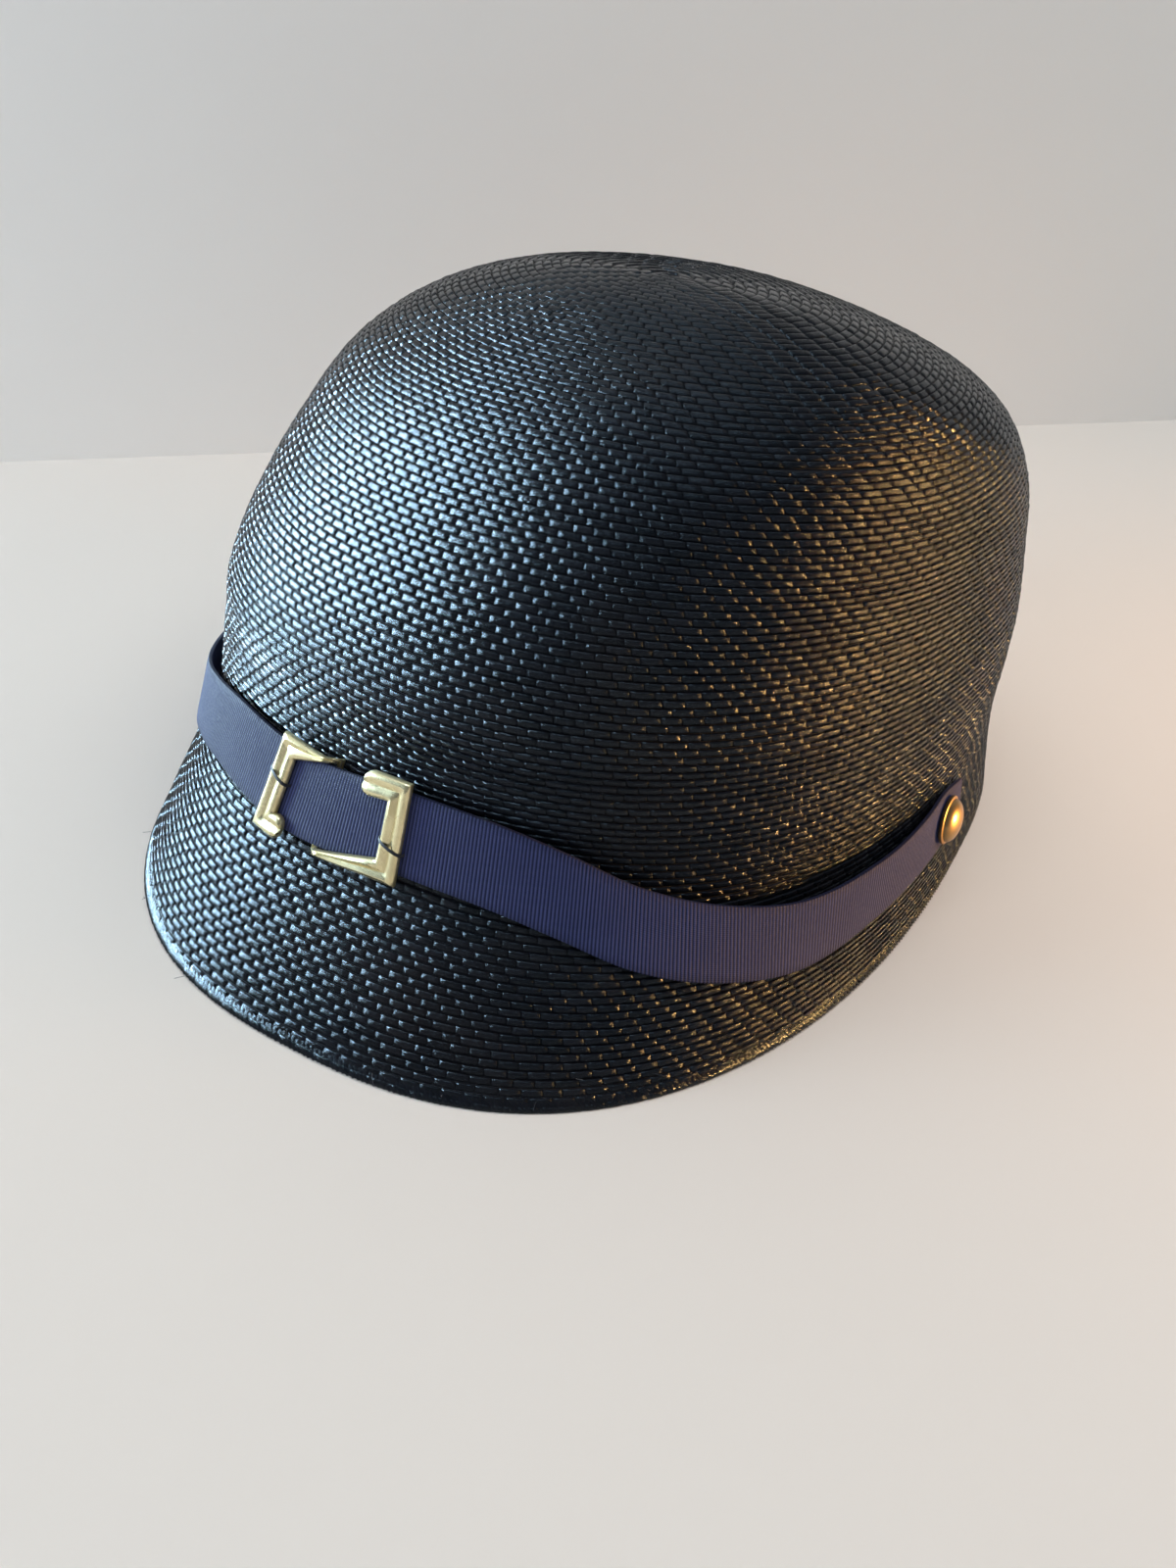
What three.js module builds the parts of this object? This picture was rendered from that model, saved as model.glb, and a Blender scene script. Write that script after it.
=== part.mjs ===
import * as THREE from "three";

// A cloche hat of sewn straw braid, in millimetres. Its rim lies on z = 0, its front faces -Y
// and the wearer's left is +X. A bearing is an angle in degrees round the hat, 0 at the front
// and 90 at the wearer's left.

// Driving sizes
const GAP = 0.3;
const HAT = { height: 131, halfLength: 96, halfBreadth: 94, wall: 2 };
const STRAP = { width: 17, thick: 1, standOff: 2.4, peakDepth: 42 };
const BUCKLE = {
  width: 38,
  height: 23.6,
  thick: 1.6,
  barThick: 1.2,
  sideBar: 4.6,
  corner: 5.6,
  tip: 1.4,
  centreBar: 15.5,
  crossing: 2.4,
  lowStub: 8,
  highStub: 12,
  bearing: 5.5,
};
const BUTTON = { diameter: 12, height: 3.6, lip: 1, bearing: 87 };

// How finely the curved pieces are divided
const SEGMENTS = { hatRows: 30, hatColumns: 68, strap: 64, buckleStep: 2.4, button: 24, dome: 6 };

// One row for each level of the straw, from the rim to the tip of the crown. Column along is
// the share of the way up. Columns up, front, back, side and the two shifts aft and aside are
// shares of the hat's height, half length or half breadth. Column turn is degrees, and full is
// how square the ring is, 2 for an ellipse.
const LEVEL_COLUMNS = ["along", "up", "front", "back", "side", "aft", "aside", "turn", "full"];
const LEVELS = [
  [0, 0, 1.536, 1.029, 1.072, 0.005, -0.007, 11.4, 2.44],
  [0.09, 0.202, 1.213, 0.987, 1.021, -0.022, 0.01, 8, 2.38],
  [0.22, 0.393, 1.081, 0.97, 1.001, -0.06, 0.034, 3, 2.3],
  [0.29, 0.475, 1.05, 0.977, 0.988, -0.079, 0.046, 0.4, 2.25],
  [0.375, 0.587, 0.964, 0.977, 0.953, -0.093, 0.062, 0, 2.2],
  [0.49, 0.714, 0.794, 0.934, 0.91, -0.113, 0.083, 0, 2.13],
  [0.6, 0.818, 0.638, 0.815, 0.83, -0.137, 0.103, 0, 2.06],
  [0.72, 0.907, 0.446, 0.573, 0.663, -0.161, 0.125, 0, 1.98],
  [0.85, 0.976, 0.227, 0.297, 0.388, -0.187, 0.149, 0, 1.9],
  [0.95, 0.996, 0.078, 0.109, 0.16, -0.205, 0.167, 0, 1.83],
  [1, 1, 0, 0, 0, -0.216, 0.176, 0, 1.8],
];

// One row for each bearing along the strap. Column peak is the straw that shows below its low
// edge, as a share of the peak's depth, lowOff and topOff are how far its edges stand off the
// straw, as shares of the stand-off, and broad is its breadth as a share of its full width.
const STRAP_COLUMNS = ["bearing", "peak", "lowOff", "topOff", "broad"];
const STRAP_ROWS = [
  [-93, 0.4, 0.3, 0.3, 0.75],
  [-86, 0.39, 0.3, 0.4, 0.88],
  [-74, 0.38, 0.5, 0.9, 0.92],
  [-60, 0.36, 0.5, 1.5, 0.94],
  [-48, 0.38, 0.5, 1.5, 0.95],
  [-38, 0.47, 0.5, 1.2, 0.98],
  [-30, 0.61, 0.5, 1, 1],
  [-22, 0.77, 0.6, 0.8, 1.02],
  [-14, 0.9, 0.8, 0.8, 1.04],
  [3, 0.97, 1, 0.8, 1.06],
  [16, 1.01, 0.8, 0.8, 1.07],
  [25, 0.96, 0.6, 0.8, 1.07],
  [32, 0.84, 0.5, 0.9, 1.06],
  [40, 0.63, 0.5, 1.1, 1.02],
  [48, 0.47, 0.5, 1.4, 0.98],
  [57, 0.36, 0.5, 1.7, 0.95],
  [69, 0.37, 0.6, 1.8, 0.93],
  [80, 0.38, 0.5, 1.1, 0.92],
  [87, 0.39, 0.4, 0.5, 0.88],
  [94, 0.4, 0.3, 0.3, 0.7],
];

// Where the curves are sampled, as shares of the way up the hat and as degrees round it
const SAMPLE = { up: 0.004, climb: 0.0025, round: 1, strap: 1.5 };

// The strap lies below this share of the way up.
const STRAP_LIMIT = 0.6;

// A ring's half length and half breadth never fall below this.
const LEAST_HALF = 1e-6;

// Reads a table as smooth curves over its first column: the returned function gives every
// named column at a place.
function smoothTable(names, rows) {
  const places = rows.map((row) => row[0]);
  const curve = new THREE.CubicInterpolant(places, rows.flat(), names.length);
  return (place) => {
    const found = curve.evaluate(place);
    return Object.fromEntries(names.map((name, i) => [name, found[i]]));
  };
}

const levelAt = smoothTable(LEVEL_COLUMNS, LEVELS);
const strapRowAt = smoothTable(STRAP_COLUMNS, STRAP_ROWS);

// The point of the straw's outer face on one level, at one bearing
function strawPoint(along, bearing) {
  const level = levelAt(along);
  const round = THREE.MathUtils.degToRad(bearing);
  const turned = round - THREE.MathUtils.degToRad(level.turn);
  const ahead = Math.cos(turned);
  const length = Math.max((ahead > 0 ? level.front : level.back) * HAT.halfLength, LEAST_HALF);
  const breadth = Math.max(level.side * HAT.halfBreadth, LEAST_HALF);
  const aside = Math.abs(Math.sin(turned) / breadth) ** level.full;
  const forth = Math.abs(ahead / length) ** level.full;
  const radius = (aside + forth) ** (-1 / level.full);
  return new THREE.Vector3(
    radius * Math.sin(round) + level.aside * HAT.halfBreadth,
    -radius * Math.cos(round) + level.aft * HAT.halfLength,
    level.up * HAT.height,
  );
}

// The straw's direction up the hat and its outward normal at a point
function strawDirections(along, bearing) {
  const low = Math.max(along - SAMPLE.up, 0);
  const high = Math.min(along + SAMPLE.up, 1 - SAMPLE.up);
  const up = strawPoint(high, bearing).sub(strawPoint(low, bearing)).normalize();
  const before = strawPoint(along, bearing - SAMPLE.round);
  const round = strawPoint(along, bearing + SAMPLE.round).sub(before);
  return { up, outward: round.cross(up).normalize() };
}

// Joins rings of points in order, and closes the first and last ring with a fan to one point.
function solidOfRings(rings, firstPoint, lastPoint) {
  const count = rings[0].length;
  const points = [firstPoint, ...rings.flat(), lastPoint];
  const last = points.length - 1;
  const faces = [];
  for (let i = 0; i < count; i++) {
    const next = (i + 1) % count;
    faces.push(0, 1 + next, 1 + i);
    for (let ring = 0; ring + 1 < rings.length; ring++) {
      const here = 1 + ring * count;
      const there = here + count;
      faces.push(here + i, here + next, there + i);
      faces.push(here + next, there + next, there + i);
    }
    const top = 1 + (rings.length - 1) * count;
    faces.push(top + i, top + next, last);
  }
  const geometry = new THREE.BufferGeometry().setFromPoints(points);
  geometry.setIndex(faces);
  geometry.computeVertexNormals();
  return geometry;
}

function centreOf(points) {
  return points.reduce((sum, p) => sum.add(p), new THREE.Vector3()).divideScalar(points.length);
}

function bearings() {
  return Array.from({ length: SEGMENTS.hatColumns }, (_, i) => (360 * i) / SEGMENTS.hatColumns);
}

// The point of the straw's inner face behind an outer point; on the rim it stays at z = 0.
function innerPoint(along, bearing) {
  const { up, outward } = strawDirections(along, bearing);
  const point = strawPoint(along, bearing).addScaledVector(outward, -HAT.wall);
  if (along === 0) point.addScaledVector(up, -point.z / up.z);
  return point;
}

function strawBody() {
  const levels = Array.from({ length: SEGMENTS.hatRows }, (_, i) => i / SEGMENTS.hatRows);
  const outer = levels.map((along) => bearings().map((bearing) => strawPoint(along, bearing)));
  const inner = levels.map((along) => bearings().map((bearing) => innerPoint(along, bearing)));
  const tip = strawPoint(1, 0);
  const innerTip = tip.clone().setZ(tip.z - HAT.wall);
  return solidOfRings([...inner.reverse(), ...outer], innerTip, tip);
}

// Climbs the straw at one bearing from the rim, and gives the level at that distance.
function levelAfter(distance, bearing) {
  let climbed = 0;
  let along = 0;
  let here = strawPoint(0, bearing);
  while (along < STRAP_LIMIT) {
    const there = strawPoint(along + SAMPLE.climb, bearing);
    const stride = there.distanceTo(here);
    if (climbed + stride > distance) {
      return along + (SAMPLE.climb * (distance - climbed)) / stride;
    }
    climbed += stride;
    along += SAMPLE.climb;
    here = there;
  }
  return along;
}

// The low and the high edge of the strap's inner face at a bearing, and its half breadth
function strapEdges(bearing) {
  const row = strapRowAt(bearing);
  const edge = (distance, off) => {
    const along = levelAfter(distance, bearing);
    const { outward } = strawDirections(along, bearing);
    return strawPoint(along, bearing).addScaledVector(outward, off * STRAP.standOff);
  };
  const bottom = row.peak * STRAP.peakDepth;
  const broad = row.broad * STRAP.width;
  return { low: edge(bottom, row.lowOff), high: edge(bottom + broad, row.topOff), half: broad / 2 };
}

function strapMiddle(bearing) {
  const { low, high } = strapEdges(bearing);
  return low.add(high).multiplyScalar(0.5);
}

// Where the strap lies at a bearing: the middle of its inner face, its direction up, its
// direction outward and half its breadth
function strapSection(bearing) {
  const { low, high, half } = strapEdges(bearing);
  const middle = low.clone().add(high).multiplyScalar(0.5);
  const up = high.sub(low).normalize();
  const round = strapMiddle(bearing + SAMPLE.strap).sub(strapMiddle(bearing - SAMPLE.strap));
  const outward = round.cross(up).normalize();
  return { middle, up, outward, half };
}

// A place on the strap: y up from its middle line and d outward from its inner face
function onStrap(bearing, y, d) {
  const { middle, up, outward } = strapSection(bearing);
  return middle.addScaledVector(up, y).addScaledVector(outward, d);
}

function ribbonStrap() {
  const from = STRAP_ROWS[0][0];
  const to = STRAP_ROWS[STRAP_ROWS.length - 1][0];
  const sections = Array.from({ length: SEGMENTS.strap + 1 }, (_, i) => {
    const bearing = THREE.MathUtils.lerp(from, to, i / SEGMENTS.strap);
    const { half } = strapSection(bearing);
    return [
      onStrap(bearing, -half, 0),
      onStrap(bearing, 0, 0),
      onStrap(bearing, half, 0),
      onStrap(bearing, half, STRAP.thick),
      onStrap(bearing, 0, STRAP.thick),
      onStrap(bearing, -half, STRAP.thick),
    ];
  });
  return solidOfRings(sections, centreOf(sections[0]), centreOf(sections[SEGMENTS.strap]));
}

// The buckle's middle line as stations x, y and half breadth, from the low stub's free end
// up the side bar, along the upper arm to its tip, down the centre bar behind the strap, and
// by the same turns to the high stub's free end. Column behind is 1 where the bar lies
// behind the strap and 0 where it lies in front.
function buckleStations() {
  const edge = BUCKLE.width / 2;
  const side = edge - BUCKLE.sideBar / 2;
  const arm = BUCKLE.height / 2 - BUCKLE.corner / 2;
  const halfTip = BUCKLE.tip / 2;
  const halfCorner = BUCKLE.corner / 2;
  const halfTurn = (BUCKLE.sideBar + BUCKLE.corner) / 4;
  const halfEnd = halfCorner / 2;
  const clear = strapSection(BUCKLE.bearing).half + GAP + halfTip;
  const centre = BUCKLE.centreBar - edge;
  const low = BUCKLE.lowStub - edge;
  const high = edge - BUCKLE.highStub;
  return [
    { x: low, y: -arm, half: halfEnd, behind: 0 },
    { x: low - halfEnd, y: -arm, half: halfCorner, behind: 0 },
    { x: -side, y: -arm, half: halfTurn, behind: 0 },
    { x: -side, y: arm, half: halfTurn, behind: 0 },
    { x: centre - BUCKLE.crossing, y: clear, half: halfTip, behind: 0 },
    { x: centre, y: clear, half: halfTip, behind: 1 },
    { x: centre, y: -clear, half: halfTip, behind: 1 },
    { x: centre + BUCKLE.crossing, y: -clear, half: halfTip, behind: 0 },
    { x: side, y: -arm, half: halfTurn, behind: 0 },
    { x: side, y: arm, half: halfTurn, behind: 0 },
    { x: high + halfEnd, y: arm, half: halfCorner, behind: 0 },
    { x: high, y: arm, half: halfEnd, behind: 0 },
  ];
}

// The direction across the buckle's bar at a station, longer at a corner, where it is mitred
function mitre(stations, i) {
  const at = (k) => new THREE.Vector2(stations[k].x, stations[k].y);
  const before = at(i).sub(at(Math.max(i - 1, 0)));
  const after = at(Math.min(i + 1, stations.length - 1)).sub(at(i));
  const first = (before.length() ? before : after).clone().normalize();
  const second = (after.length() ? after : before).clone().normalize();
  const across = new THREE.Vector2(-first.y - second.y, first.x + second.x).normalize();
  return across.divideScalar(across.dot(new THREE.Vector2(-second.y, second.x)));
}

function buckle() {
  const stations = buckleStations();
  const reach = onStrap(BUCKLE.bearing, 0, 0).setZ(0).length();
  const front = STRAP.thick + GAP;
  const behind = -GAP - BUCKLE.barThick;
  const place = (x, y, d) => onStrap(BUCKLE.bearing + THREE.MathUtils.radToDeg(x / reach), y, d);
  const sections = [];
  stations.forEach((station, i) => {
    const across = mitre(stations, i);
    const last = i === stations.length - 1;
    const next = last ? station : stations[i + 1];
    const nextAcross = last ? across : mitre(stations, i + 1);
    const span = Math.hypot(next.x - station.x, next.y - station.y);
    const pieces = last ? 1 : Math.ceil(span / SEGMENTS.buckleStep);
    for (let k = 0; k < pieces; k++) {
      const share = k / pieces;
      const mix = (a, b) => THREE.MathUtils.lerp(a, b, share);
      const half = mix(station.half, next.half);
      const over = { x: half * mix(across.x, nextAcross.x), y: half * mix(across.y, nextAcross.y) };
      const x = mix(station.x, next.x);
      const y = mix(station.y, next.y);
      const sunk = mix(station.behind, next.behind);
      const low = THREE.MathUtils.lerp(front, behind, sunk);
      const high = low + THREE.MathUtils.lerp(BUCKLE.thick, BUCKLE.barThick, sunk);
      sections.push([
        place(x - over.x, y - over.y, low),
        place(x + over.x, y + over.y, low),
        place(x + over.x, y + over.y, high),
        place(x - over.x, y - over.y, high),
      ]);
    }
  });
  return solidOfRings(sections, centreOf(sections[0]), centreOf(sections[sections.length - 1]));
}

// A button with its flat back on the XY plane and its dome along +Z
function buttonGeometry() {
  const radius = BUTTON.diameter / 2;
  const dome = BUTTON.height - BUTTON.lip;
  const profile = [new THREE.Vector2(0, 0), new THREE.Vector2(radius, 0)];
  for (let i = 0; i < SEGMENTS.dome; i++) {
    const turn = (Math.PI / 2) * (i / SEGMENTS.dome);
    profile.push(new THREE.Vector2(radius * Math.cos(turn), BUTTON.lip + dome * Math.sin(turn)));
  }
  profile.push(new THREE.Vector2(0, BUTTON.height));
  return new THREE.LatheGeometry(profile, SEGMENTS.button).rotateX(Math.PI / 2);
}

function mesh(name, geometry, colour, roughness, metalness) {
  const material = new THREE.MeshStandardMaterial({ color: colour, roughness, metalness });
  const made = new THREE.Mesh(geometry, material);
  made.name = name;
  return made;
}

function button(name, bearing) {
  const made = mesh(name, buttonGeometry(), 0x8a6a3c, 0.38, 0.9);
  const { outward } = strapSection(bearing);
  made.position.copy(onStrap(bearing, 0, STRAP.thick + GAP));
  made.quaternion.setFromUnitVectors(new THREE.Vector3(0, 0, 1), outward);
  return made;
}

const hat = new THREE.Group();
hat.add(mesh("straw_body", strawBody(), 0x14161d, 0.32, 0));
hat.add(mesh("ribbon_strap", ribbonStrap(), 0x3a3a4c, 0.8, 0));
hat.add(mesh("buckle", buckle(), 0xb8ad8c, 0.35, 0.85));
hat.add(button("button_left", BUTTON.bearing));
hat.add(button("button_right", -BUTTON.bearing));

// The origin is the middle of the hat's box on the plane that it rests on.
const middle = new THREE.Box3().setFromObject(hat).getCenter(new THREE.Vector3());
hat.position.set(-middle.x, -middle.y, 0);

export default hat;
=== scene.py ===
"""Cloche hat of sewn straw braid with a ribbon strap, a buckle and two buttons.

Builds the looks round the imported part: the braid's single straws, the ribbed ribbon,
the cast buckle, the domed buttons and the threads. Metres, rim on z = 0, front to -Y,
the wearer's left to +X. A bearing is an angle in degrees round the hat, 0 at the front
and 90 at the wearer's left.
"""

import logging
import math
from dataclasses import dataclass
from enum import Enum

import bpy
import numpy as np
from mathutils import Matrix, Vector


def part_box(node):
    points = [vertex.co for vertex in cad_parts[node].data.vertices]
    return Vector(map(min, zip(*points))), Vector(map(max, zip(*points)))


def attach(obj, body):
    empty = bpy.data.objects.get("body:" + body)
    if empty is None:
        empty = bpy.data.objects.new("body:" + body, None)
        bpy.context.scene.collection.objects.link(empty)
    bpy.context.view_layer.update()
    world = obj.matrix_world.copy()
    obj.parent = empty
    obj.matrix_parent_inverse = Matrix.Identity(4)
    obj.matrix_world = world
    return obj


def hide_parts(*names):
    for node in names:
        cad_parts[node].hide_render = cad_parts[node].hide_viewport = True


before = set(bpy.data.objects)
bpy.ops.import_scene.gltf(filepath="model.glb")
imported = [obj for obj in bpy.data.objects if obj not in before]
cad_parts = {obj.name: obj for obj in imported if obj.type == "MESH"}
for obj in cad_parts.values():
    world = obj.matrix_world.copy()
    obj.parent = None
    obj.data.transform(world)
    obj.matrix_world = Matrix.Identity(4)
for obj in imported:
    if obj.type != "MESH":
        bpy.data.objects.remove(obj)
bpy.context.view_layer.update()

log = logging.getLogger("cloche")

MM = 0.001


# Named choices, tables and sizes


class NodeName(Enum):
    """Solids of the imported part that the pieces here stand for."""

    STRAW = "straw_body"
    STRAP = "ribbon_strap"
    BUCKLE = "buckle"
    BUTTON_LEFT = "button_left"
    BUTTON_RIGHT = "button_right"


class Slot(Enum):
    """Material slots of the record."""

    STRAW = "straw"
    RIBBON = "ribbon"
    PALE_BRASS = "pale_brass"
    DARK_BRASS = "dark_brass"


class Shading(Enum):
    """How a piece's faces are lit."""

    SMOOTH = "smooth"
    BY_ANGLE = "by angle"


# Shares of the hat's height, half length and half breadth from the rim to the tip; turn is
# degrees.
LEVEL_COLUMNS = ("along", "up", "front", "back", "side", "aft", "aside", "turn", "full")
LEVELS = (
    (0, 0, 1.536, 1.029, 1.072, 0.005, -0.007, 11.4, 2.44),
    (0.09, 0.202, 1.213, 0.987, 1.021, -0.022, 0.01, 8, 2.38),
    (0.22, 0.393, 1.081, 0.97, 1.001, -0.06, 0.034, 3, 2.3),
    (0.29, 0.475, 1.05, 0.977, 0.988, -0.079, 0.046, 0.4, 2.25),
    (0.375, 0.587, 0.964, 0.977, 0.953, -0.093, 0.062, 0, 2.2),
    (0.49, 0.714, 0.794, 0.934, 0.91, -0.113, 0.083, 0, 2.13),
    (0.6, 0.818, 0.638, 0.815, 0.83, -0.137, 0.103, 0, 2.06),
    (0.72, 0.907, 0.446, 0.573, 0.663, -0.161, 0.125, 0, 1.98),
    (0.85, 0.976, 0.227, 0.297, 0.388, -0.187, 0.149, 0, 1.9),
    (0.95, 0.996, 0.078, 0.109, 0.16, -0.205, 0.167, 0, 1.83),
    (1, 1, 0, 0, 0, -0.216, 0.176, 0, 1.8),
)

# Straw that shows below the strap, as a share of the peak's depth, how far its two edges
# stand off the straw, as shares of the stand-off, and its breadth as a share of its width.
STRAP_COLUMNS = ("bearing", "peak", "low_off", "top_off", "broad")
STRAP_ROWS = (
    (-93, 0.4, 0.3, 0.3, 0.75),
    (-86, 0.39, 0.3, 0.4, 0.88),
    (-74, 0.38, 0.5, 0.9, 0.92),
    (-60, 0.36, 0.5, 1.5, 0.94),
    (-48, 0.38, 0.5, 1.5, 0.95),
    (-38, 0.47, 0.5, 1.2, 0.98),
    (-30, 0.61, 0.5, 1, 1),
    (-22, 0.77, 0.6, 0.8, 1.02),
    (-14, 0.9, 0.8, 0.8, 1.04),
    (3, 0.97, 1, 0.8, 1.06),
    (16, 1.01, 0.8, 0.8, 1.07),
    (25, 0.96, 0.6, 0.8, 1.07),
    (32, 0.84, 0.5, 0.9, 1.06),
    (40, 0.63, 0.5, 1.1, 1.02),
    (48, 0.47, 0.5, 1.4, 0.98),
    (57, 0.36, 0.5, 1.7, 0.95),
    (69, 0.37, 0.6, 1.8, 0.93),
    (80, 0.38, 0.5, 1.1, 0.92),
    (87, 0.39, 0.4, 0.5, 0.88),
    (94, 0.4, 0.3, 0.3, 0.7),
)


@dataclass(frozen=True)
class HatSizes:
    """Driving sizes of the hat's shell."""

    height: float = 131 * MM
    half_length: float = 96 * MM
    half_breadth: float = 94 * MM
    wall: float = 2 * MM


@dataclass(frozen=True)
class StrapSizes:
    """Driving sizes of the ribbon strap."""

    width: float = 17 * MM
    thick: float = 1.0 * MM
    stand_off: float = 2.4 * MM
    peak_depth: float = 42 * MM
    rib: float = 0.8 * MM


@dataclass(frozen=True)
class BuckleSizes:
    """Driving sizes of the buckle."""

    width: float = 38 * MM
    height: float = 23.6 * MM
    thick: float = 1.6 * MM
    bar_thick: float = 1.2 * MM
    side_bar: float = 4.6 * MM
    corner: float = 5.6 * MM
    tip: float = 1.4 * MM
    centre_bar: float = 15.5 * MM
    crossing: float = 2.4 * MM
    low_stub: float = 8 * MM
    high_stub: float = 12 * MM
    bearing: float = 5.5


@dataclass(frozen=True)
class ButtonSizes:
    """Driving sizes of a button."""

    diameter: float = 12 * MM
    height: float = 3.6 * MM
    bearing: float = 87


HAT = HatSizes()
STRAP = StrapSizes()
BUCKLE = BuckleSizes()
BUTTON = ButtonSizes()
GAP = 0.3 * MM


# Smooth tables and the shapes that the pieces follow


@dataclass(frozen=True)
class SmoothTable:
    """Named columns read as smooth curves over the first one."""

    columns: tuple
    rows: tuple

    def at(self, places: np.ndarray) -> dict:
        """Reads every column at some places.

        Args:
            places: where, in the first column's unit; past its ends the end rows hold.

        Returns:
            An array for each column's name.
        """
        values = np.array(self.rows, float)
        knots = values[:, 0]
        last = len(knots) - 1
        places = np.clip(np.asarray(places, float), knots[0], knots[-1])
        high = np.clip(np.searchsorted(knots, places, side="right"), 1, last)
        low = high - 1
        before = np.where(low > 0, low - 1, high)
        after = np.where(high < last, high + 1, low)
        span = knots[high] - knots[low]
        share = (places - knots[low]) / span
        pull_low = 0.5 * span / (knots[low] - knots[before])
        pull_high = 0.5 * span / (knots[after] - knots[high])
        square, cube = share**2, share**3
        weights = (
            (before, -pull_low * cube + 2 * pull_low * square - pull_low * share),
            (low, (1 + pull_low) * cube - (1.5 + 2 * pull_low) * square + (pull_low - 0.5) * share + 1),
            (high, -(1 + pull_high) * cube + (1.5 + pull_high) * square + 0.5 * share),
            (after, pull_high * cube - pull_high * square),
        )
        mixed = sum(values[row] * weight[..., None] for row, weight in weights)
        return {name: mixed[..., i] for i, name in enumerate(self.columns)}


def unit(vectors: np.ndarray) -> np.ndarray:
    """Gives vectors of length one.

    Args:
        vectors: an array whose last axis is x, y, z.

    Returns:
        The same directions with length one.
    """
    return vectors / np.maximum(np.linalg.norm(vectors, axis=-1, keepdims=True), 1e-12)


class StrawSurface:
    """The outer face of the straw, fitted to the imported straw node's box."""

    def __init__(self, low: Vector, high: Vector) -> None:
        """Fits the shape to a box.

        Args:
            low: the node's lowest corner.
            high: the node's highest corner.
        """
        self.levels = SmoothTable(LEVEL_COLUMNS, LEVELS)
        self.scale = np.ones(3)
        self.shift = np.zeros(3)
        along, bearing = np.meshgrid(np.linspace(0, 1, 121), np.arange(0, 360, 1.5))
        raw = self.point(along, bearing).reshape(-1, 3)
        size = raw.max(0) - raw.min(0)
        self.scale = (np.array(high) - np.array(low)) / size
        self.shift = np.array(low) - raw.min(0) * self.scale

    def point(self, along: np.ndarray, bearing: np.ndarray) -> np.ndarray:
        """Gives points of the outer face.

        Args:
            along: share of the way from the rim to the tip.
            bearing: degrees round the hat.

        Returns:
            Points, with x, y, z on the last axis.
        """
        level = self.levels.at(along)
        turn = np.radians(bearing)
        turned = turn - np.radians(level["turn"])
        ahead = np.cos(turned)
        length = np.where(ahead > 0, level["front"], level["back"]) * HAT.half_length
        breadth = level["side"] * HAT.half_breadth
        across = np.abs(np.sin(turned) / np.maximum(breadth, 1e-9)) ** level["full"]
        forth = np.abs(ahead / np.maximum(length, 1e-9)) ** level["full"]
        radius = (across + forth) ** (-1 / level["full"])
        raw = np.stack(
            (
                radius * np.sin(turn) + level["aside"] * HAT.half_breadth,
                -radius * np.cos(turn) + level["aft"] * HAT.half_length,
                level["up"] * HAT.height + 0 * radius,
            ),
            -1,
        )
        return raw * self.scale + self.shift

    def axes(self, along: np.ndarray, bearing: np.ndarray) -> tuple:
        """Gives the surface's directions.

        Args:
            along: share of the way from the rim to the tip.
            bearing: degrees round the hat.

        Returns:
            Unit vectors up the straw and outward from it.
        """
        step = 0.004
        low = np.clip(along - step, 0, 1 - 2 * step)
        high = np.clip(along + step, 0, 1 - step)
        up = unit(self.point(high, bearing) - self.point(low, bearing))
        inside = np.clip(along, 0, 1 - step)
        around = self.point(inside, bearing + 1) - self.point(inside, bearing - 1)
        return up, unit(np.cross(around, up))

    def climb(self, distance: np.ndarray, bearing: np.ndarray) -> np.ndarray:
        """Climbs from the rim.

        Args:
            distance: metres along the straw, one for each bearing.
            bearing: degrees, one line up the hat for each.

        Returns:
            The share along at that distance.
        """
        steps = np.linspace(0, 0.6, 241)
        lines = self.point(steps[None, :], np.asarray(bearing)[:, None])
        strides = np.linalg.norm(np.diff(lines, axis=1), axis=-1)
        climbed = np.concatenate((np.zeros((len(lines), 1)), np.cumsum(strides, 1)), 1)
        found = [np.interp(d, row, steps) for d, row in zip(distance, climbed)]
        return np.array(found)


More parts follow.
